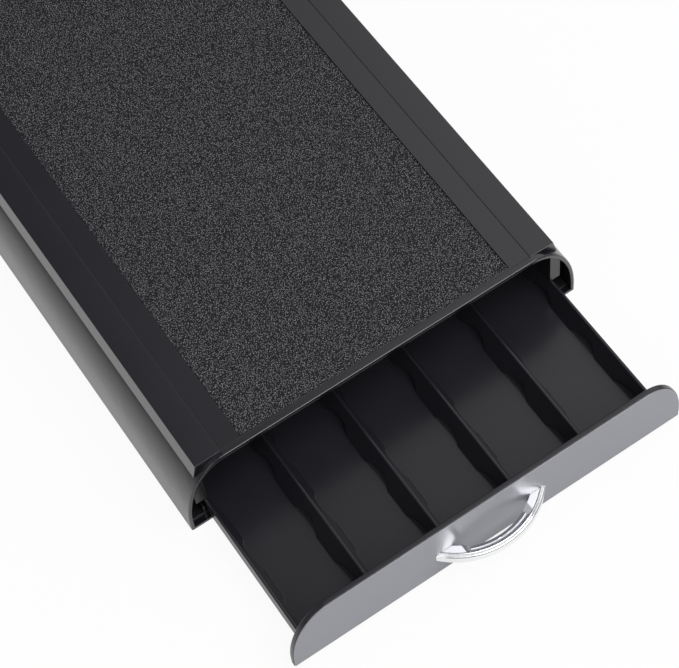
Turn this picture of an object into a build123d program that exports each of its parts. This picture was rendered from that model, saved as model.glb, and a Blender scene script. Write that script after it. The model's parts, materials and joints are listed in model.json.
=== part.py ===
from build123d import *
import os

# Coffee pod drawer: an arched housing with a sliding tray of capsule lanes.
# Millimetres. X runs across the drawer, Y from the front to the back, Z up from the
# surface that the feet stand on. The drawer is drawn open by `open_at_rest`.

# Capsules, which the tray is laid out round
lanes = 5
rows = 10
lane_pitch = 43.8
row_pitch = 37.8
capsule_flange = 37.0
seat_clearance = 0.2

# Pod tray
floor_thickness = 1.8
floor_lift = 1.25               # underside of the floor above the housing's bottom edge
ridge_height = 14.5
ridge_base = 12.8
ridge_crest = 1.4
side_height = 13.0
side_rim = 1.5
end_wall = 1.2
end_clearance = 0.85
flange_notch_gap = 0.5          # floor's stepped edge to the flange's tip

# Drawer front
front_side_gap = 0.6            # to the inside of the housing
front_top_gap = 2.25
front_sill_gap = 0.3            # over the flanges as the front slides in
front_flat_step = 1.3           # its flat top is wider than the housing's, on each side
front_skirt = 6.0
front_round = 0.6
carrier_thickness = 2.7
face_thickness = 0.6
face_inset = 0.35

# Handle
handle_radius = 45.2
handle_width = 7.0
handle_height = 7.5
handle_reach = 14.7
handle_lift = 19.2              # its middle above the front's bottom edge
handle_screw_length = 5.5
ledge_drop = 3.4
ledge_width = 1.9
ledge_rise = 0.6
valley_width = 2.7
valley_lean = 1.6               # from the ledge to the deepest part of the hollow
valley_bulge = 0.3
crest_width = 1.2
crest_rise = 0.5
crest_step = 0.2
hollow_length = 41.0            # along the pull's top, before it runs out
hollow_run_out = 4.5
rim_drop = 1.4
rim_bevel = 0.5
handle_edge = 0.9

# Housing
housing_height = 54.8           # platform above the bottom edge
shell_wall = 2.2
platform_thickness = 3.0
side_space = 9.6                # tray side to the inside of the housing
shoulder_run = 27.3
skirt_height = 6.0
lip_depth = 3.2
lip_round = 0.8
lip_groove_width = 0.7          # line across the platform behind the lip
lip_groove_depth = 0.4
flange_thickness = 2.0
flange_land = 1.5               # how far the flange reaches under the tray's side
rib_depth = 3.6
rib_thickness = 1.6
rib_inset = 18.0
rib_front_margin = 8.0
long_ribs = 5
cross_ribs = 5
rear_thickness = 2.6

# Non-slip mat
band_width = 12.2               # smooth band from the mat to the shoulder rail
mat_thickness = 1.0
mat_margin = 1.6                # from the lip to the mat, front and back
mat_drop = 0.6

# Shoulder rails
rail_top_width = 15.0
rail_drop = 10.0
rail_draft_run = 2.4
rail_edge = 0.9
rail_round = 0.5

# Guides and stops
open_at_rest = 92.9
travel = 285.0
slide_gap = 0.3
side_gap = 0.6
runner_thickness = 1.2
runner_upright = 1.4
runner_upright_height = 6.2
hold_down_overlap = 2.1
hold_down_width = 6.7
hold_down_wall = 1.6
hold_down_gap = 0.6
stop_gap = 0.4                  # between the runner's upright and the stop
stop_width = 5.6
stop_length = 8.0
stop_headroom = 1.0
catch_height = 4.6
catch_length = 8.0
catch_drop = 1.0                # below the tray's rim
catch_inset = 1.5               # from the tray's back
catch_engagement = 2.0
peg_diameter = 3.0
peg_length = 2.5
block_round = 0.8

# Feet, bumpers and fasteners
foot_stand = 1.6
foot_diameter = 11.0
foot_recess = 0.6
foot_inset = 18.0
foot_chamfer = 0.5
bumper_diameter = 8.0
bumper_height = 3.5
bumper_spacing = 120.0
bumper_round = 1.2
screw_diameter = 3.0
screw_head = 5.4
screw_head_depth = 1.5
screw_length = 7.0
cross_slot = 0.8
cross_depth = 0.7
cross_reach = 1.6
boss_diameter = 6.4
boss_length = 12.0
boss_sink = 0.8                 # of a rear boss into the platform
boss_gap = 0.25                 # from a runner's boss to its upright
boss_drop = 1.0                 # of a runner's boss below its upright
screws_per_runner = 3
runner_screw_front = 60.0       # behind the stop
runner_screw_rear = 60.0
rear_screw_count = 4
rear_screw_inset = 8.0
panel_screw_lift = 5.5          # above the tray's floor
fit = 0.05                      # radial play round screws
seat_play = 0.1                 # between pieces that seat on each other
past = 1.0                      # how far a cutter runs past a face

# Heights
shell_bottom = foot_stand
spring_line = shell_bottom + skirt_height
platform = shell_bottom + housing_height
underside = platform - platform_thickness
flange_top = shell_bottom + flange_thickness
runner_top = flange_top + runner_thickness
runner_crown = runner_top + runner_upright_height
floor_bottom = shell_bottom + floor_lift
floor_top = floor_bottom + floor_thickness
tray_side_bottom = runner_top + slide_gap
tray_side_top = floor_top + side_height
hold_down_bottom = tray_side_top + hold_down_gap
front_bottom = flange_top + front_sill_gap
front_top = underside - front_top_gap
handle_middle = front_bottom + handle_lift
panel_screw_line = floor_top + panel_screw_lift
rear_screw_line = underside - boss_diameter / 2 + boss_sink

# Widths, from the middle
tray_half = lanes * lane_pitch / 2
inner_half = tray_half + side_space
housing_half = inner_half + shell_wall
flat_half = housing_half - shoulder_run
mat_half = flat_half - band_width
flange_tip = tray_half - flange_land
front_half = inner_half - front_side_gap
front_flat = flat_half + front_flat_step
upright_inner = tray_half + side_gap
upright_outer = upright_inner + runner_upright
boss_centre = upright_outer + boss_gap + boss_diameter / 2
stop_inner = upright_outer + stop_gap
stop_outer = stop_inner + stop_width
hold_down_inner = tray_half - hold_down_overlap
hold_down_outer = hold_down_inner + hold_down_width
foot_line = (flange_tip + housing_half) / 2
handle_back = handle_radius - handle_reach      # its centre behind the front
handle_foot = ((handle_radius - handle_width / 2) ** 2 - handle_back**2) ** 0.5

# Lengths, with the box round the open drawer centred on Y = 0
seat_radius = capsule_flange / 2 + seat_clearance
first_row = end_wall + end_clearance + seat_radius
tray_length = 2 * first_row + (rows - 1) * row_pitch
panel_thickness = face_thickness + carrier_thickness
housing_depth = panel_thickness + tray_length + slide_gap + bumper_height + rear_thickness
front = (open_at_rest + handle_reach - housing_depth) / 2
back = front + housing_depth
inner_front = front + lip_depth
inner_back = back - lip_depth
mat_front = inner_front + mat_margin
mat_back = inner_back - mat_margin
guide_front = front + panel_thickness + slide_gap
rear_inside = back - rear_thickness
panel_front = front - open_at_rest
carrier_front = panel_front + face_thickness
tray_front = panel_front + panel_thickness
tray_back = tray_front + tray_length
catch_back = tray_back - catch_inset
catch_front = catch_back - catch_length
stop_back = catch_front - (travel - open_at_rest) - slide_gap
stop_front = stop_back - stop_length

lane_centres = [(i - (lanes - 1) / 2) * lane_pitch for i in range(lanes)]
ridge_centres = [(i - (lanes - 2) / 2) * lane_pitch for i in range(lanes - 1)]
row_centres = [tray_front + first_row + j * row_pitch for j in range(rows)]
foot_rows = (front + foot_inset, back - foot_inset)

drawer_section = Plane((0, 0, 0), x_dir=(1, 0, 0), z_dir=(0, -1, 0))
standing = (Align.CENTER, Align.CENTER, Align.MIN)


def block(x0, x1, y0, y1, z0, z1):
    """A box between two corners."""
    middle = Pos((x0 + x1) / 2, (y0 + y1) / 2, (z0 + z1) / 2)
    return middle * Box(x1 - x0, y1 - y0, z1 - z0)


def rod(radius, x, z, y0, y1):
    """A cylinder along Y."""
    return Pos(x, (y0 + y1) / 2, z) * Rot(90, 0, 0) * Cylinder(radius, y1 - y0)


def post(radius, x, y, z0, z1):
    """A cylinder along Z."""
    return Pos(x, y, (z0 + z1) / 2) * Cylinder(radius, z1 - z0)


def along(section, y0, y1):
    """A section drawn in X and Z, run from y0 to y1."""
    return Pos(0, y0, 0) * extrude(drawer_section * section, amount=y0 - y1)


def polygon(points):
    """A flat face from its corners, in X and Z."""
    return make_face(Polyline(*points, close=True))


def arch(half, flat, skirt, bottom, top):
    """Arched outline: upright skirts, elliptical shoulders and a flat top."""
    run = half - flat
    spring = bottom + skirt
    rise = top - spring
    outline = [
        Line((-half, bottom), (half, bottom)),
        Line((half, bottom), (half, spring)),
        EllipticalCenterArc((flat, spring), run, rise, start_angle=0, arc_size=90),
        Line((flat, top), (-flat, top)),
        EllipticalCenterArc((-flat, spring), run, rise, start_angle=90, arc_size=90),
        Line((-half, spring), (-half, bottom)),
    ]
    return make_face(outline)


def outer_arch(grow=0.0):
    """The housing's outside, grown all round."""
    return arch(housing_half + grow, flat_half, skirt_height, shell_bottom - grow, platform + grow)


def inner_arch(shrink=0.0):
    """The inside of the housing, shrunk all round."""
    bottom = flange_top + shrink
    return arch(inner_half - shrink, flat_half, spring_line - bottom, bottom, underside - shrink)


def front_outline(inset=0.0):
    """The drawer front's arched outline, which fills the housing's mouth."""
    return arch(front_half - inset, front_flat, front_skirt - inset, front_bottom + inset, front_top - inset)


def mirrored(solid):
    """The same piece on the other side."""
    return mirror(solid, about=Plane.YZ)


def on_both_sides(solid):
    """A piece with its mirror image."""
    return [solid, mirrored(solid)]


def evenly(count, first, last):
    """Evenly spaced places, both ends included."""
    return [first + (last - first) * i / (count - 1) for i in range(count)]


def screw(length):
    """Countersunk screw along Z, its flat head's face at the origin and its tip above."""
    head = Cone(screw_head / 2, screw_diameter / 2, screw_head_depth, align=standing)
    shank = Cylinder(screw_diameter / 2, length, align=standing)
    slot = Box(2 * cross_reach, cross_slot, cross_depth, align=standing)
    return head + shank - slot - Rot(0, 0, 90) * slot


def screw_hole(depth):
    """The hole that a countersunk screw sits in, with its play."""
    head = Cone(screw_head / 2 + fit, screw_diameter / 2 + fit, screw_head_depth, align=standing)
    return head + Cylinder(screw_diameter / 2 + fit, depth, align=standing)


runner_screw_rows = evenly(
    screws_per_runner, stop_back + runner_screw_front, rear_inside - runner_screw_rear
)
runner_screw_places = [Pos(boss_centre, y, shell_bottom) for y in runner_screw_rows]
stop_screw_place = Pos((stop_inner + stop_outer) / 2, (stop_front + stop_back) / 2, shell_bottom)
flange_screw_places = runner_screw_places + [stop_screw_place]
panel_screw_places = [Pos(x, carrier_front, panel_screw_line) * Rot(-90, 0, 0) for x in ridge_centres]
rear_screw_reach = flat_half - rear_screw_inset
rear_screw_columns = evenly(rear_screw_count, -rear_screw_reach, rear_screw_reach)
rear_screw_places = [Pos(x, back, rear_screw_line) * Rot(90, 0, 0) for x in rear_screw_columns]
handle_screw_places = [
    Pos(x, tray_front, handle_middle) * Rot(90, 0, 0) for x in (-handle_foot, handle_foot)
]


def platform_ribs():
    """Crossed ribs under the platform."""
    low, side = underside - rib_depth, rib_thickness / 2
    rib_front = inner_front + rib_front_margin
    rib_back = rear_inside - boss_length - rib_thickness
    outermost = flat_half - rib_inset
    lengthways = [
        block(x - side, x + side, rib_front, rib_back, low, underside)
        for x in evenly(long_ribs, -outermost, outermost)
    ]
    crossways = [
        block(-flat_half, flat_half, y - side, y + side, low, underside)
        for y in evenly(cross_ribs, rib_front + side, rib_back - side)
    ]
    return lengthways + crossways


def housing_shell():
    """Arched cover with grooved lips, inturned flanges, a ribbed platform and a recess for the mat."""
    shell = along(outer_arch(), front, back) - along(inner_arch(), front - past, back + past)
    between_flanges = block(
        -flange_tip, flange_tip, front - past, back + past, shell_bottom - past, flange_top + past
    )
    shell -= between_flanges
    front_edges = shell.edges().filter_by(lambda edge: edge.bounding_box().max.Y < front + lip_round / 2)
    arch_edges = front_edges.filter_by(lambda edge: edge.bounding_box().max.Z > spring_line)
    shell = fillet(arch_edges, lip_round)

    recess = mat_thickness + mat_drop
    shell -= block(-mat_half, mat_half, mat_front, mat_back, platform - recess, platform + past)
    for y in (inner_front, inner_back - lip_groove_width):
        groove_back = y + lip_groove_width
        shell -= block(-flat_half, flat_half, y, groove_back, platform - lip_groove_depth, platform + past)
    rebate = block(flat_half, housing_half, inner_front, inner_back, platform - rail_edge, platform + past)
    shell -= on_both_sides(rebate)

    bosses = [rod(boss_diameter / 2, x, rear_screw_line, rear_inside - boss_length, rear_inside)
              for x in rear_screw_columns]
    shell += platform_ribs() + bosses
    for place in rear_screw_places:
        shell -= place * screw_hole(screw_length + past)
    for place in flange_screw_places:
        shell -= on_both_sides(place * screw_hole(screw_length))
    for y in foot_rows:
        pocket = post(foot_diameter / 2 + fit, foot_line, y, shell_bottom - past, shell_bottom + foot_recess)
        shell -= on_both_sides(pocket)
    return shell


def top_mat():
    """Non-slip mat in the platform's recess."""
    width = 2 * (mat_half - seat_play)
    length = mat_back - mat_front - 2 * seat_play
    middle = Pos(0, (mat_front + mat_back) / 2, platform - mat_drop - mat_thickness / 2)
    return middle * Box(width, length, mat_thickness)


def shoulder_rail():
    """Squared rail on the right shoulder, seated on the arch."""
    inner, outer = flat_half + seat_play, flat_half + rail_top_width
    low = platform - rail_drop
    section = polygon([(inner, platform), (outer, platform), (outer + rail_draft_run, low), (inner, low)])
    rail = along(section, inner_front + seat_play, inner_back - seat_play)
    seat = along(outer_arch(seat_play), front, back)
    seat -= block(flat_half, housing_half + past, front, back, platform - rail_edge, platform + past)
    rail -= seat
    top_edge = rail.edges().filter_by(Axis.Y).group_by(Axis.Z)[-1].sort_by(Axis.X)[-1]
    return fillet(top_edge, rail_round)


def hold_down():
    """Hollow guide on the right, hung under the shoulder over the tray's rim."""
    wall = hold_down_wall
    guide = block(hold_down_inner, hold_down_outer, guide_front, rear_inside, hold_down_bottom, underside)
    cavity = block(
        hold_down_inner + wall,
        hold_down_outer - wall,
        guide_front + wall,
        rear_inside - wall,
        hold_down_bottom + wall,
        underside + past,
    )
    return (guide & along(inner_arch(seat_play), front, back)) - cavity


def runner():
    """L strip on the right flange, with bosses for its screws."""
    strip = block(flange_tip, inner_half - seat_play, guide_front, rear_inside, flange_top, runner_top)
    strip += block(upright_inner, upright_outer, guide_front, rear_inside, flange_top, runner_crown)
    for y in runner_screw_rows:
        strip += post(boss_diameter / 2, boss_centre, y, flange_top, runner_crown - boss_drop)
    for place in flange_screw_places:
        strip -= place * screw_hole(screw_length)
    return strip


def drawer_stop():
    """Block on the right runner that the tray's catch meets at full travel."""
    top = hold_down_bottom - stop_headroom
    stop = block(stop_inner, stop_outer, stop_front, stop_back, runner_top, top)
    stop = fillet(stop.edges().filter_by(Axis.Z), block_round)
    return stop - stop_screw_place * screw_hole(screw_length)


def runner_screws():
    """All screws that come up through the flanges."""
    right = [place * screw(screw_length - seat_play) for place in flange_screw_places]
    return Compound(right + [mirrored(item) for item in right])


def rear_panel():
    """Arched plate that closes the back, between the shell's sides."""
    plate = along(inner_arch(seat_play), rear_inside, back)
    for place in rear_screw_places:
        plate -= place * screw_hole(screw_length)
    return plate


def closing_bumpers():
    """Rubber buttons inside the rear panel."""
    height = (tray_side_top + floor_top) / 2
    buttons = []
    for x in (-bumper_spacing / 2, bumper_spacing / 2):
        button = rod(bumper_diameter / 2, x, height, rear_inside - bumper_height, rear_inside)
        buttons.append(fillet(button.edges().group_by(Axis.Y)[0], bumper_round))
    return Compound(buttons)


def foot(side, y):
    """Rubber foot glued in the flange's recess."""
    button = post(foot_diameter / 2, side * foot_line, y, 0, shell_bottom + foot_recess)
    return chamfer(button.edges().group_by(Axis.Z)[0], foot_chamfer)


def tray_section():
    """Cross-section of the tray: floor, ridges and sloping sides."""
    slope = ridge_base / 2
    notch = flange_tip - flange_notch_gap
    right = [
        (tray_half - slope, floor_top),
        (tray_half - side_rim, tray_side_top),
        (tray_half, tray_side_top),
        (tray_half, tray_side_bottom),
        (notch, tray_side_bottom),
        (notch, floor_bottom),
    ]
    left = [(-x, z) for x, z in reversed(right)]
    ridges = []
    for x in ridge_centres:
        ridges.append((x - slope, floor_top))
        ridges.append((x - ridge_crest / 2, floor_top + ridge_height))
        ridges.append((x + ridge_crest / 2, floor_top + ridge_height))
        ridges.append((x + slope, floor_top))
    return polygon(ridges + right + left)


def pod_tray():
    """Tray of lanes: straight ridges scooped by a round seat for every capsule."""
    tray = along(tray_section(), tray_front, tray_back)
    tray -= [post(seat_radius, x, y, floor_top, platform) for x in lane_centres for y in row_centres]
    wall_half = tray_half - side_rim
    for y in (tray_front, tray_back - end_wall):
        tray += block(-wall_half, wall_half, y, y + end_wall, floor_bottom, tray_side_top)
    for place in panel_screw_places:
        tray -= place * screw_hole(screw_length + past)
    return tray - on_both_sides(catch_peg(fit))


def catch_peg(grow=0.0):
    """Peg of the right catch, in the thick end of the tray's side."""
    height = (tray_side_bottom + tray_side_top) / 2
    peg = Cylinder(peg_diameter / 2 + grow, peg_length + grow, align=standing)
    return Pos(tray_half, (catch_front + catch_back) / 2, height) * Rot(0, -90, 0) * peg


def tray_catch():
    """Lug at the tray's rear right corner that meets the stop."""
    top = tray_side_top - catch_drop
    reach = stop_inner + catch_engagement
    lug = block(tray_half, reach, catch_front, catch_back, top - catch_height, top)
    lug = fillet(lug.edges().filter_by(Axis.Z).group_by(Axis.X)[-1], block_round)
    return lug + catch_peg()


def front_panel():
    """Black carrier of the drawer front."""
    plate = along(front_outline(), carrier_front, tray_front)
    rear_edges = plate.edges().filter_by(lambda edge: edge.bounding_box().min.Y > carrier_front)
    arch_edges = rear_edges.filter_by(lambda edge: edge.bounding_box().max.Z > front_top - front_round)
    plate = fillet(arch_edges, front_round)
    for place in panel_screw_places:
        plate -= place * screw_hole(screw_length)
    for place in handle_screw_places:
        plate -= place * screw_hole(handle_screw_length)
    return plate


def front_face():
    """Satin sheet on the carrier."""
    sheet = along(front_outline(face_inset), panel_front, carrier_front)
    for place in handle_screw_places:
        sheet -= place * screw_hole(handle_screw_length)
    return sheet


def pull_sections():
    """Sections of the pull without its hollow, and of the hollow above its low inner ledge."""
    low, high = -handle_height / 2, handle_height / 2
    inner = handle_radius - handle_width
    ledge = high - ledge_drop
    shoulder = high - crest_rise
    rim = high - rim_drop
    ledge_end = (inner + ledge_width, ledge + ledge_rise)
    deepest = (ledge_end[0] + valley_lean, ledge_end[1] + valley_bulge)
    crest_start = (ledge_end[0] + valley_width, shoulder)
    crest_middle = (crest_start[0] + crest_width / 2, high)
    crest_end = (crest_start[0] + crest_width, shoulder)
    outside = Polyline(
        crest_end,
        (crest_end[0] + crest_step, rim),
        (handle_radius - rim_bevel, rim),
        (handle_radius, rim - rim_bevel),
        (handle_radius, low + handle_edge),
        (handle_radius - handle_edge, low),
        (inner + handle_edge, low),
        (inner, low + handle_edge),
        (inner, shoulder - rim_bevel),
        (inner + rim_bevel, shoulder),
        crest_start,
    )
    body = make_face([outside, ThreePointArc(crest_start, crest_middle, crest_end)])
    above = Polyline(
        crest_start,
        (crest_start[0], high + past),
        (inner - past, high + past),
        (inner - past, ledge - rim_bevel - past),
        (inner + rim_bevel, ledge),
        ledge_end,
    )
    hollow = make_face([above, ThreePointArc(ledge_end, deepest, crest_start)])
    return body, hollow


def handle():
    """Crescent pull: a ring about an upright axis behind the front, hollowed between its ends."""
    centre = panel_front + handle_back
    middle = Pos(0, centre, handle_middle)
    ring, hollow = [middle * revolve(Plane.XZ * section, Axis.Z) for section in pull_sections()]
    top = handle_middle + handle_height / 2
    top_half = hollow_length / 2
    floor_half = top_half - hollow_run_out
    run_out = polygon([
        (-top_half, top + past), (-top_half, top), (-floor_half, top - ledge_drop), (-floor_half, 0),
        (floor_half, 0), (floor_half, top - ledge_drop), (top_half, top), (top_half, top + past),
    ])
    foremost = centre - handle_radius - past
    ahead = block(-handle_radius, handle_radius, foremost, panel_front, 0, platform)
    pull = (ring & ahead) - (hollow & along(run_out, foremost, panel_front))
    for place in handle_screw_places:
        pull -= place * screw_hole(handle_screw_length)
    return pull


def build_parts():
    """Every sub-part by name."""
    pull_screw = screw(handle_screw_length - seat_play)
    parts = {
        "housing_shell": housing_shell(),
        "top_mat": top_mat(),
        "rear_panel": rear_panel(),
        "rear_screws": Compound([at * screw(screw_length) for at in rear_screw_places]),
        "runner_screws": runner_screws(),
        "closing_bumpers": closing_bumpers(),
        "pod_tray": pod_tray(),
        "front_panel": front_panel(),
        "front_face": front_face(),
        "handle": handle(),
        "handle_screws": Compound([at * pull_screw for at in handle_screw_places]),
        "panel_screws": Compound([at * screw(screw_length) for at in panel_screw_places]),
    }
    paired = {
        "shoulder_rail": shoulder_rail(),
        "hold_down": hold_down(),
        "runner": runner(),
        "drawer_stop": drawer_stop(),
        "tray_catch": tray_catch(),
    }
    for name, solid in paired.items():
        parts[name + "_right"] = solid
        parts[name + "_left"] = mirrored(solid)
    for end, y in zip(("front", "rear"), foot_rows):
        for name, side in (("left", -1), ("right", 1)):
            parts[f"foot_{end}_{name}"] = foot(side, y)
    return parts


os.makedirs("parts", exist_ok=True)
for node, shape in build_parts().items():
    export_step(shape, f"parts/{node}.step")
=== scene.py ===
import json
import math

import bpy
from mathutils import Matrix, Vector


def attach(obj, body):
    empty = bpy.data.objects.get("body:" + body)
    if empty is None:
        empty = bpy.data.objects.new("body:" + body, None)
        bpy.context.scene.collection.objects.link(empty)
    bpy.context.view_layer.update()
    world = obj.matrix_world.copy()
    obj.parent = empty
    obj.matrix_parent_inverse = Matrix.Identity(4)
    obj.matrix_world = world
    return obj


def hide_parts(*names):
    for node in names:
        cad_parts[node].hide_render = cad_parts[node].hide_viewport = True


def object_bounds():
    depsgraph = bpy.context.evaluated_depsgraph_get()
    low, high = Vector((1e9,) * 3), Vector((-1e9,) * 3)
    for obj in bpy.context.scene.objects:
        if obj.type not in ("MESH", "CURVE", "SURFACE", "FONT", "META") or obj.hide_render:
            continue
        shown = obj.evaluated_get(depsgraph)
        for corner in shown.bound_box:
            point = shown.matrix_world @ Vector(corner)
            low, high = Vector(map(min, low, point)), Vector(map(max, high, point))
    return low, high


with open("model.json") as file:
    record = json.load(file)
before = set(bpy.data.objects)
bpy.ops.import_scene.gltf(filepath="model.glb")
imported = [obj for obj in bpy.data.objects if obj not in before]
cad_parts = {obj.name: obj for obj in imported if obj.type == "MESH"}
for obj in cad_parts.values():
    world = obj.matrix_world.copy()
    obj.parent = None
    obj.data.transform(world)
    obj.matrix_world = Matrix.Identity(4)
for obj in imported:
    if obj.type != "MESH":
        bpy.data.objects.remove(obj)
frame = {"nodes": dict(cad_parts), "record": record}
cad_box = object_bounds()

bl_info = {
    "name": "Coffee Pod Drawer",
    "version": (1, 0, 0),
    "blender": (4, 5, 0),
    "location": "3D View > Sidebar > Pod Drawer",
    "description": "Finishes, stage and camera for an arched coffee pod drawer",
    "category": "Object",
}

MILLIMETRE = 0.001
SAME_PLACE = 0.001 * MILLIMETRE
FLAT_ANGLE = math.radians(0.5)
SHARP_ANGLE = math.radians(30)
SMOOTH_ANGLE = math.radians(35)
EDGE_STEPS = 2

WHITE = (1.0, 1.0, 1.0, 1.0)
MIX_FIRST, MIX_SECOND, MIX_COLOUR = 6, 7, 2    # colour sockets of a Mix node
NOISE_ROUGHNESS = 0.55
GRAIN_SMOOTHNESS = 0.6
HOUSING_IOR = 1.68

# The mat's grain: how much the fine noise adds, where its tops with painted highlight start and
# how fast the painted highlight brightens, and how deep it is
MAT_IOR = 1.38
GRAIN_FINE_SHARE = 0.6
TOPS_START = 0.9
TOPS_GAIN = 6.0
GRAIN_DEPTH = 0.4 * MILLIMETRE

# The studio's room: where its window is, and its brightness from beside it to within it
WINDOW = (0.75, 0.2, 0.63)
WINDOW_STOPS = ((0.0, 0.3), (0.64, 0.13), (0.745, 0.17), (0.82, 0.8), (0.92, 1.0))

# Lamps: name, place, target, width in metres and power in watts
LAMPS = (
    ("key", (0.45, -1.15, 2.2), (0, -0.1, 0), 1.8, 42.0),
    ("fill", (-1.6, -1.0, 1.3), (0, 0, 0), 1.2, 6.0),
)

# Floor: where the drawer's painted contact shadow starts and ends in gloss, and the painted
# shade of the far floor in gloss
CONTACT_SHADE = 0.35
CONTACT_REACH = 20 * MILLIMETRE
FAR_FLOOR_PAINTED_SHADE = 0.25

SENSOR_WIDTH = 36.0
CLIP_START, CLIP_END = 0.05, 50.0


class Value:
    """A shader socket that can be used in plain arithmetic."""

    def __init__(self, finish, socket):
        self.finish = finish
        self.socket = socket

    def _math(self, operation, first, second):
        sockets = {0: first, 1: second}
        node = self.finish.add("ShaderNodeMath", {"operation": operation}, sockets)
        return Value(self.finish, node.outputs[0])

    def __add__(self, other):
        return self._math("ADD", self, other)

    __radd__ = __add__

    def __sub__(self, other):
        return self._math("SUBTRACT", self, other)

    def __rsub__(self, other):
        return self._math("SUBTRACT", other, self)

    def __mul__(self, other):
        return self._math("MULTIPLY", self, other)

    __rmul__ = __mul__

    def __truediv__(self, other):
        return self._math("DIVIDE", self, other)

    def __rtruediv__(self, other):
        return self._math("DIVIDE", other, self)

    def __pow__(self, other):
        return self._math("POWER", self, other)

    def least(self, other):
        """Never less than the other."""
        return self._math("MAXIMUM", self, other)

    def size(self):
        """Without its sign."""
        return self._math("ABSOLUTE", self, 0.0)

    def clamp(self):
        """Held between zero and one."""
        return self._math("MINIMUM", self, 1.0).least(0.0)


class Finish:
    """A node material being put together."""

    def __init__(self, name):
        self.material = bpy.data.materials.new(name)
        self.material.use_nodes = True
        self.tree = self.material.node_tree
        self.tree.nodes.clear()
        self.output = self.add("ShaderNodeOutputMaterial")
        self.place = self.out(self.add("ShaderNodeTexCoord"), "Object")

    def add(self, kind, settings=None, sockets=None):
        """A node with its settings, then its sockets' values or links."""
        node = self.tree.nodes.new(kind)
        for name, value in (settings or {}).items():
            if name == "stops":
                self._set_stops(node.color_ramp, value)
            else:
                setattr(node, name, value)
        for name, value in (sockets or {}).items():
            if isinstance(value, Value):
                self.tree.links.new(value.socket, node.inputs[name])
            else:
                node.inputs[name].default_value = value
        return node

    @staticmethod
    def _set_stops(ramp, stops):
        while len(ramp.elements) < len(stops):
            ramp.elements.new(1.0)
        for element, (position, shade) in zip(ramp.elements, stops):
            element.position = position
            element.color = (shade, shade, shade, 1.0)

    def out(self, node, name=0):
        """A node's output, for use in arithmetic or as a link."""
        return Value(self, node.outputs[name])

    def axes(self):
        """The object's X, Y and Z in metres."""
        split = self.add("ShaderNodeSeparateXYZ", None, {0: self.place})
        return [self.out(split, name) for name in "XYZ"]

    def noise(self, size, detail=2.0):
        """Noise whose features are about that many metres across."""
        sockets = {
            "Vector": self.place,
            "Scale": 1.0 / size,
            "Detail": detail,
            "Roughness": NOISE_ROUGHNESS,
        }
        return self.out(self.add("ShaderNodeTexNoise", None, sockets), "Fac")

    def pebbles(self, size):
        """Distance from the middle of rounded grains of about that many metres."""
        sockets = {"Vector": self.place, "Scale": 1.0 / size, "Smoothness": GRAIN_SMOOTHNESS}
        grains = self.add("ShaderNodeTexVoronoi", {"feature": "SMOOTH_F1"}, sockets)
        return self.out(grains, "Distance")

    def blend(self, factor, first, second):
        """A colour between two colours."""
        sockets = {"Factor": factor, MIX_FIRST: first, MIX_SECOND: second}
        node = self.add("ShaderNodeMix", {"data_type": "RGBA"}, sockets)
        return self.out(node, MIX_COLOUR)

    def bump(self, height, distance, strength=1.0):
        """A normal raised by a height, in metres."""
        sockets = {"Height": height, "Distance": distance, "Strength": strength}
        return self.out(self.add("ShaderNodeBump", None, sockets))

    def surface(self, **sockets):
        """The plastic or metal shader, linked to the output."""
        named = {name.replace("_", " "): value for name, value in sockets.items()}
        shader = self.add("ShaderNodeBsdfPrincipled", None, named)
        self.tree.links.new(shader.outputs[0], self.output.inputs["Surface"])
        return self.material


def solid(colour):
    """A colour property as a node colour."""
    return (*colour[:3], 1.0)


def deeper(colour, factor):
    """The same colour made lighter or darker."""
    return (*(channel * factor for channel in colour[:3]), 1.0)


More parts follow.
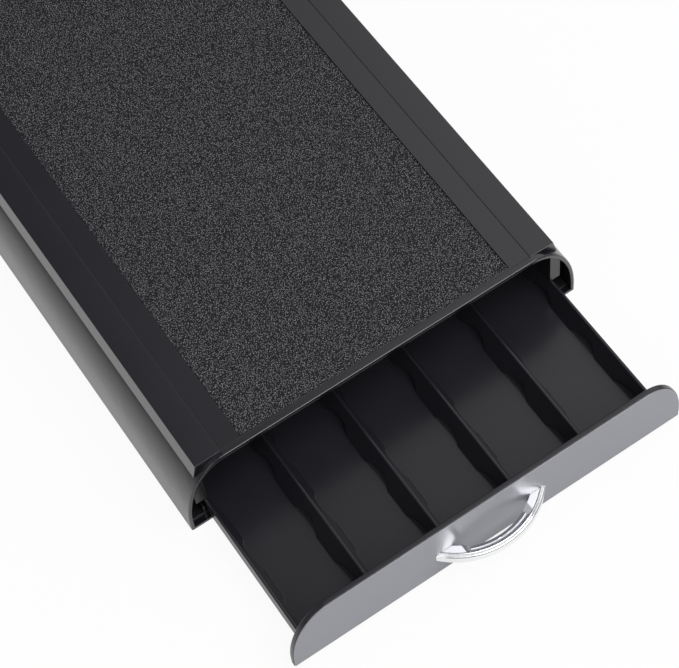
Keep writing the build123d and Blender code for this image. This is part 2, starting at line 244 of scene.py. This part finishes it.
class DrawerFinishes(bpy.types.PropertyGroup):
    """Colours and gloss of the drawer's mouldings and metal."""

    housing: bpy.props.FloatVectorProperty(
        name="Housing", description="Satin black of the arched housing and its rails",
        default=(0.0064, 0.0061, 0.0104), subtype="COLOR", min=0.0, max=1.0,
    )
    mat: bpy.props.FloatVectorProperty(
        name="Mat", description="Grained black of the mat on the platform",
        default=(0.0035, 0.0035, 0.0045), subtype="COLOR", min=0.0, max=1.0,
    )
    # Colour of the painted highlight on the tops of the mat's grain
    mat_painted_highlight: bpy.props.FloatVectorProperty(
        name="Mat painted highlight", description="Painted highlight on the tops of the mat's grain",
        default=(0.205, 0.206, 0.226), subtype="COLOR", min=0.0, max=1.0,
    )
    tray: bpy.props.FloatVectorProperty(
        name="Tray", description="Glossy black of the pod tray",
        default=(0.0165, 0.016, 0.0205), subtype="COLOR", min=0.0, max=1.0,
    )
    inner: bpy.props.FloatVectorProperty(
        name="Guides", description="Plain black of the guides inside the housing",
        default=(0.012, 0.012, 0.013), subtype="COLOR", min=0.0, max=1.0,
    )
    face: bpy.props.FloatVectorProperty(
        name="Front", description="Satin grey of the drawer front",
        default=(0.262, 0.265, 0.297), subtype="COLOR", min=0.0, max=1.0,
    )
    chrome: bpy.props.FloatVectorProperty(
        name="Chrome", description="Polished metal of the handle",
        default=(0.93, 0.936, 0.945), subtype="COLOR", min=0.0, max=1.0,
    )
    steel: bpy.props.FloatVectorProperty(
        name="Screws", description="Zinc plated steel of the screws",
        default=(0.42, 0.43, 0.45), subtype="COLOR", min=0.0, max=1.0,
    )
    rubber: bpy.props.FloatVectorProperty(
        name="Rubber", description="Matte black of the feet and bumpers",
        default=(0.014, 0.014, 0.014), subtype="COLOR", min=0.0, max=1.0,
    )
    housing_roughness: bpy.props.FloatProperty(
        name="Housing roughness", description="How broad the housing's reflections are",
        default=0.22, min=0.0, max=1.0, subtype="FACTOR",
    )
    soft_edge: bpy.props.FloatProperty(
        name="Soft edge", description="Rounding along the edges of the mouldings",
        default=0.35 * MILLIMETRE, min=0.00005, max=0.002, unit="LENGTH", precision=5,
    )
    thin_edge: bpy.props.FloatProperty(
        name="Thin edge", description="Rounding along the edges of the sheet and the metal",
        default=0.18 * MILLIMETRE, min=0.00005, max=0.002, unit="LENGTH", precision=5,
    )
    grain: bpy.props.FloatProperty(
        name="Mat grain", description="Width of one grain of the mat",
        default=0.72 * MILLIMETRE, min=0.0002, max=0.01, unit="LENGTH", precision=4,
    )


class DrawerStage(bpy.types.PropertyGroup):
    """Floor, light and camera."""

    floor: bpy.props.FloatProperty(
        name="Floor", description="Width of the pale floor",
        default=12.0, min=1.0, unit="LENGTH",
    )
    floor_colour: bpy.props.FloatVectorProperty(
        name="Floor colour", description="Pale colour of the floor",
        default=(0.86, 0.86, 0.86), subtype="COLOR", min=0.0, max=1.0,
    )
    floor_glow: bpy.props.FloatProperty(
        name="Floor glow", description="Share of the floor that shows as plain white",
        default=0.93, min=0.0, max=1.0, subtype="FACTOR",
    )
    glow_reach: bpy.props.FloatProperty(
        name="Glow reach", description="How far from the drawer the white floor shows in gloss",
        default=0.1, min=0.01, unit="LENGTH",
    )
    camera_place: bpy.props.FloatVectorProperty(
        name="Camera", description="Where the camera stands",
        default=(-0.235026, -0.581436, 0.963100), subtype="XYZ", unit="LENGTH",
    )
    camera_turn: bpy.props.FloatVectorProperty(
        name="Camera turn", description="Which way the camera looks",
        default=(0.5113048, 0.0763625, -0.5876272), subtype="EULER", unit="ROTATION",
    )
    lens: bpy.props.FloatProperty(
        name="Lens", description="Focal length on a 36 mm wide sensor, in millimetres",
        default=109.3825, min=10.0, max=400.0,
    )


def housing_plastic(colours):
    """Satin black moulding with a very fine texture."""
    finish = Finish("housing_plastic")
    fine = finish.noise(0.6 * MILLIMETRE)
    broad = finish.noise(45 * MILLIMETRE, 3.0)
    tone = finish.blend(broad, deeper(colours.housing, 0.92), deeper(colours.housing, 1.1))
    rough = colours.housing_roughness + 0.05 * (broad - 0.5) + 0.04 * (fine - 0.5)
    normal = finish.bump(fine, 0.004 * MILLIMETRE, 0.5)
    return finish.surface(Base_Color=tone, Roughness=rough, Normal=normal, IOR=HOUSING_IOR)


def mat_texture(colours):
    """Leather-like grain, its tops given a lighter colour as painted highlight."""
    finish = Finish("mat_texture")
    grains = finish.pebbles(colours.grain)
    fine = finish.noise(colours.grain * 0.55, 3.0)
    height = 1.0 - grains + GRAIN_FINE_SHARE * fine
    # Painted highlight: the grain's tops get a lighter colour and a lower roughness
    tops = ((height - TOPS_START) * TOPS_GAIN).clamp()
    tone = finish.blend(tops, solid(colours.mat), solid(colours.mat_painted_highlight))
    rough = 0.6 - 0.15 * tops
    normal = finish.bump(height, GRAIN_DEPTH)
    return finish.surface(Base_Color=tone, Roughness=rough, Normal=normal, IOR=MAT_IOR)


def tray_plastic(colours):
    """Glossy black moulding."""
    finish = Finish("tray_plastic")
    broad = finish.noise(30 * MILLIMETRE, 3.0)
    fine = finish.noise(0.5 * MILLIMETRE)
    tone = finish.blend(broad, deeper(colours.tray, 0.9), deeper(colours.tray, 1.15))
    rough = 0.2 + 0.06 * broad + 0.03 * fine
    normal = finish.bump(fine, 0.002 * MILLIMETRE, 0.5)
    return finish.surface(Base_Color=tone, Roughness=rough, Normal=normal)


def inner_plastic(colours):
    """Plain black moulding of the guides."""
    finish = Finish("inner_plastic")
    broad = finish.noise(20 * MILLIMETRE, 3.0)
    fine = finish.noise(0.7 * MILLIMETRE)
    tone = finish.blend(broad, deeper(colours.inner, 0.9), deeper(colours.inner, 1.15))
    rough = 0.26 + 0.08 * broad
    normal = finish.bump(fine, 0.004 * MILLIMETRE, 0.5)
    return finish.surface(Base_Color=tone, Roughness=rough, Normal=normal)


def face_satin(colours):
    """Satin grey coat of the drawer front."""
    finish = Finish("face_satin")
    fine = finish.noise(0.35 * MILLIMETRE)
    broad = finish.noise(60 * MILLIMETRE, 2.0)
    tone = finish.blend(broad, deeper(colours.face, 0.97), deeper(colours.face, 1.03))
    rough = 0.3 + 0.05 * (fine - 0.5)
    normal = finish.bump(fine, 0.003 * MILLIMETRE, 0.4)
    return finish.surface(Base_Color=tone, Roughness=rough, Metallic=0.35, Normal=normal)


def handle_chrome(colours):
    """Polished chrome with the faintest haze."""
    finish = Finish("handle_chrome")
    haze = finish.noise(4 * MILLIMETRE, 3.0)
    tone = finish.blend(haze, deeper(colours.chrome, 0.97), solid(colours.chrome))
    rough = 0.07 + 0.04 * haze
    return finish.surface(Base_Color=tone, Roughness=rough, Metallic=1.0)


def screw_steel(colours):
    """Zinc plated steel."""
    finish = Finish("screw_steel")
    haze = finish.noise(0.8 * MILLIMETRE, 3.0)
    tone = finish.blend(haze, deeper(colours.steel, 0.8), deeper(colours.steel, 1.1))
    rough = 0.3 + 0.15 * haze
    return finish.surface(Base_Color=tone, Roughness=rough, Metallic=1.0)


def rubber(colours):
    """Matte rubber."""
    finish = Finish("rubber")
    fine = finish.noise(0.8 * MILLIMETRE, 3.0)
    tone = finish.blend(fine, deeper(colours.rubber, 0.85), deeper(colours.rubber, 1.2))
    rough = 0.75 + 0.1 * fine
    normal = finish.bump(fine, 0.02 * MILLIMETRE, 0.5)
    return finish.surface(Base_Color=tone, Roughness=rough, Normal=normal)


def coat(piece, material):
    """Gives an object one material."""
    piece.data.materials.clear()
    piece.data.materials.append(material)


def dress(nodes, material):
    """Gives CAD nodes one material."""
    for name in nodes:
        coat(frame["nodes"][name], material)


def nodes_of(slot):
    """Names of the CAD nodes that take their finish from a slot."""
    parts = frame["record"]["subparts"]
    return [part["node"] for part in parts if part["material_slot"] == slot]


def body_of(node):
    """The body that a CAD node is on."""
    bodies = frame["record"]["behaviour"]["bodies"]
    return next(body for body, nodes in bodies.items() if node in nodes)


def slot_of(node):
    """The slot that a CAD node takes its finish from."""
    parts = frame["record"]["subparts"]
    return next(part["material_slot"] for part in parts if part["node"] == node)


def softened(node, width):
    """A finished piece in a CAD node's place, with its sharp edges rounded over."""
    piece = bpy.data.objects.new("moulded_" + node, frame["nodes"][node].data.copy())
    bpy.context.scene.collection.objects.link(piece)
    bpy.ops.object.select_all(action="DESELECT")
    piece.select_set(True)
    bpy.context.view_layer.objects.active = piece
    bpy.ops.object.mode_set(mode="EDIT")
    bpy.ops.mesh.select_all(action="SELECT")
    bpy.ops.mesh.remove_doubles(threshold=SAME_PLACE)
    bpy.ops.mesh.customdata_custom_splitnormals_clear()
    bpy.ops.mesh.dissolve_limited(angle_limit=FLAT_ANGLE)
    bpy.ops.object.mode_set(mode="OBJECT")
    edge = piece.modifiers.new("edge", "BEVEL")
    edge.width = width
    edge.segments = EDGE_STEPS
    edge.limit_method = "ANGLE"
    edge.angle_limit = SHARP_ANGLE
    edge.use_clamp_overlap = False
    edge.miter_outer = "MITER_ARC"
    bpy.ops.object.modifier_apply(modifier=edge.name)
    bpy.ops.object.shade_smooth_by_angle(angle=SMOOTH_ANGLE)
    weights = piece.modifiers.new("weights", "WEIGHTED_NORMAL")
    weights.mode = "FACE_AREA"
    weights.keep_sharp = True
    bpy.ops.object.modifier_apply(modifier=weights.name)
    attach(piece, body_of(node))
    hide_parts(node)
    slot_of(node)
    return piece


def finish_mouldings(nodes, width, material):
    """Softened pieces for CAD nodes, in one material."""
    for node in nodes:
        coat(softened(node, width), material)


class PODDRAWER_OT_housing(bpy.types.Operator):
    """Finish the arched housing, its rails and its rear panel"""

    bl_idname = "pod_drawer.housing"
    bl_label = "Housing"

    def execute(self, context):
        finishes = context.scene.pod_drawer_finishes
        material = housing_plastic(finishes)
        dress(["housing_shell"], material)
        mouldings = nodes_of("housing_plastic") + nodes_of("rail_plastic")
        mouldings.remove("housing_shell")
        finish_mouldings(mouldings, finishes.soft_edge, material)
        return {"FINISHED"}


class PODDRAWER_OT_mat(bpy.types.Operator):
    """Finish the grained mat on the platform"""

    bl_idname = "pod_drawer.mat"
    bl_label = "Mat"

    def execute(self, context):
        finishes = context.scene.pod_drawer_finishes
        finish_mouldings(nodes_of("mat_texture"), finishes.soft_edge, mat_texture(finishes))
        return {"FINISHED"}


class PODDRAWER_OT_guides(bpy.types.Operator):
    """Finish the runners, hold-downs, stops and catches"""

    bl_idname = "pod_drawer.guides"
    bl_label = "Guides and stops"

    def execute(self, context):
        finishes = context.scene.pod_drawer_finishes
        finish_mouldings(nodes_of("inner_plastic"), finishes.soft_edge, inner_plastic(finishes))
        return {"FINISHED"}


class PODDRAWER_OT_tray(bpy.types.Operator):
    """Finish the pod tray and the carrier of the drawer front"""

    bl_idname = "pod_drawer.tray"
    bl_label = "Tray"

    def execute(self, context):
        finishes = context.scene.pod_drawer_finishes
        finish_mouldings(nodes_of("tray_plastic"), finishes.soft_edge, tray_plastic(finishes))
        return {"FINISHED"}


class PODDRAWER_OT_front(bpy.types.Operator):
    """Finish the satin drawer front"""

    bl_idname = "pod_drawer.front"
    bl_label = "Drawer front"

    def execute(self, context):
        finishes = context.scene.pod_drawer_finishes
        finish_mouldings(nodes_of("face_satin"), finishes.thin_edge, face_satin(finishes))
        return {"FINISHED"}


class PODDRAWER_OT_handle(bpy.types.Operator):
    """Finish the chrome handle"""

    bl_idname = "pod_drawer.handle"
    bl_label = "Handle"

    def execute(self, context):
        finishes = context.scene.pod_drawer_finishes
        finish_mouldings(nodes_of("handle_chrome"), finishes.thin_edge, handle_chrome(finishes))
        return {"FINISHED"}


class PODDRAWER_OT_fasteners(bpy.types.Operator):
    """Finish the screws, feet and bumpers"""

    bl_idname = "pod_drawer.fasteners"
    bl_label = "Screws and rubber"

    def execute(self, context):
        colours = context.scene.pod_drawer_finishes
        dress(nodes_of("screw_steel"), screw_steel(colours))
        dress(nodes_of("rubber"), rubber(colours))
        return {"FINISHED"}


def floor_paper(settings):
    """Pale paper that shows as near white, and in gloss only near the drawer, with painted
    shadow at the contact and painted shade far off.
    """
    finish = Finish("floor_paper")
    path = finish.add("ShaderNodeLightPath")
    low, high = cad_box
    reach = []
    for axis, place in enumerate(finish.axes()[:2]):
        middle, half = (low[axis] + high[axis]) / 2, (high[axis] - low[axis]) / 2
        reach.append(((place - middle).size() - half).least(0.0))
    distance = (reach[0] ** 2.0 + reach[1] ** 2.0) ** 0.5
    # Painted pool of light: glossy rays see the white glow only near the drawer
    near = 1.0 / (1.0 + (distance / settings.glow_reach) ** 2.0)
    # Painted contact shadow: the glow seen in gloss is darkened close to the drawer
    contact = (CONTACT_SHADE + distance / CONTACT_REACH).clamp()
    glossy = finish.out(path, "Is Glossy Ray")
    gloss = (glossy + finish.out(path, "Is Transmission Ray")).clamp()
    straight = finish.out(path, "Is Camera Ray")
    seen = settings.floor_glow * (straight + gloss * (1.0 - straight) * near * contact)
    # Painted shade: glossy rays far from the drawer see the floor in a darker colour
    painted_far_shade_factor = 1.0 - gloss * (1.0 - near)
    painted_far_shade_colour = deeper(settings.floor_colour, FAR_FLOOR_PAINTED_SHADE)
    shade = finish.blend(painted_far_shade_factor, painted_far_shade_colour, solid(settings.floor_colour))
    paper = finish.add("ShaderNodeBsdfDiffuse", None, {"Color": shade})
    glow = finish.add("ShaderNodeEmission", None, {"Color": WHITE, "Strength": 1.0})
    shaders = {0: seen, 1: finish.out(paper), 2: finish.out(glow)}
    mix = finish.add("ShaderNodeMixShader", None, shaders)
    finish.tree.links.new(mix.outputs[0], finish.output.inputs["Surface"])
    return finish.material


class Sky(Finish):
    """The studio's room, put together like a material."""

    def __init__(self, name):
        self.world = bpy.data.worlds.new(name)
        self.world.use_nodes = True
        self.tree = self.world.node_tree
        self.tree.nodes.clear()
        self.output = self.add("ShaderNodeOutputWorld")
        self.place = self.out(self.add("ShaderNodeTexCoord"), "Generated")


def studio_world():
    """Grey room, brighter over the drawer's right side, that the camera sees as white."""
    sky = Sky("studio")
    aim = Vector(WINDOW).normalized()
    facing = {"operation": "DOT_PRODUCT"}
    towards = sky.out(sky.add("ShaderNodeVectorMath", facing, {0: sky.place, 1: aim}), "Value")
    window = sky.add("ShaderNodeValToRGB", {"stops": WINDOW_STOPS}, {0: towards})
    room = sky.add("ShaderNodeBackground", None, {"Color": sky.out(window)})
    white = sky.add("ShaderNodeBackground", None, {"Color": WHITE})
    camera = sky.out(sky.add("ShaderNodeLightPath"), "Is Camera Ray")
    mix = sky.add("ShaderNodeMixShader", None, {0: camera, 1: sky.out(room), 2: sky.out(white)})
    sky.tree.links.new(mix.outputs[0], sky.output.inputs["Surface"])
    return sky.world


def softbox(name, place, target, width, power):
    """A soft square lamp aimed at a point."""
    lamp = bpy.data.lights.new(name, "AREA")
    lamp.shape = "SQUARE"
    lamp.size = width
    lamp.energy = power
    holder = bpy.data.objects.new(name, lamp)
    bpy.context.scene.collection.objects.link(holder)
    holder.location = place
    holder.rotation_euler = (Vector(target) - Vector(place)).to_track_quat("-Z", "Y").to_euler()


class PODDRAWER_OT_stage(bpy.types.Operator):
    """Lay the floor and set the light and the camera"""

    bl_idname = "pod_drawer.stage"
    bl_label = "Stage"

    def execute(self, context):
        settings = context.scene.pod_drawer_stage
        bpy.ops.object.select_all(action="DESELECT")
        bpy.ops.mesh.primitive_plane_add(size=settings.floor, location=(0, 0, 0))
        floor = context.active_object
        floor.name = "studio_floor"
        floor.data.materials.append(floor_paper(settings))
        context.scene.world = studio_world()
        for lamp in LAMPS:
            softbox(*lamp)
        lens = bpy.data.cameras.new("photo_camera")
        lens.sensor_width = SENSOR_WIDTH
        lens.lens = settings.lens
        lens.clip_start = CLIP_START
        lens.clip_end = CLIP_END
        camera = bpy.data.objects.new("photo_camera", lens)
        camera.location = settings.camera_place
        camera.rotation_euler = settings.camera_turn
        context.scene.collection.objects.link(camera)
        context.scene.camera = camera
        context.scene.view_settings.view_transform = "Standard"
        return {"FINISHED"}


class PODDRAWER_PT_panel(bpy.types.Panel):
    """Buttons that dress and stage the drawer, in order"""

    bl_idname = "PODDRAWER_PT_panel"
    bl_label = "Pod Drawer"
    bl_space_type = "VIEW_3D"
    bl_region_type = "UI"
    bl_category = "Pod Drawer"

    def draw(self, context):
        for operator in operators:
            self.layout.operator(operator.bl_idname)
        for group in (context.scene.pod_drawer_finishes, context.scene.pod_drawer_stage):
            box = self.layout.box()
            for name in group.__annotations__:
                box.prop(group, name)


operators = (
    PODDRAWER_OT_housing,
    PODDRAWER_OT_mat,
    PODDRAWER_OT_guides,
    PODDRAWER_OT_tray,
    PODDRAWER_OT_front,
    PODDRAWER_OT_handle,
    PODDRAWER_OT_fasteners,
    PODDRAWER_OT_stage,
)
classes = (DrawerFinishes, DrawerStage, *operators, PODDRAWER_PT_panel)


def register():
    for item in classes:
        bpy.utils.register_class(item)
    bpy.types.Scene.pod_drawer_finishes = bpy.props.PointerProperty(type=DrawerFinishes)
    bpy.types.Scene.pod_drawer_stage = bpy.props.PointerProperty(type=DrawerStage)


def unregister():
    del bpy.types.Scene.pod_drawer_stage
    del bpy.types.Scene.pod_drawer_finishes
    for item in reversed(classes):
        bpy.utils.unregister_class(item)


def main():
    """Registers the add-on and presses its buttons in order."""
    register()
    bpy.ops.pod_drawer.housing()
    bpy.ops.pod_drawer.mat()
    bpy.ops.pod_drawer.guides()
    bpy.ops.pod_drawer.tray()
    bpy.ops.pod_drawer.front()
    bpy.ops.pod_drawer.handle()
    bpy.ops.pod_drawer.fasteners()
    bpy.ops.pod_drawer.stage()


if __name__ == "__main__":
    main()
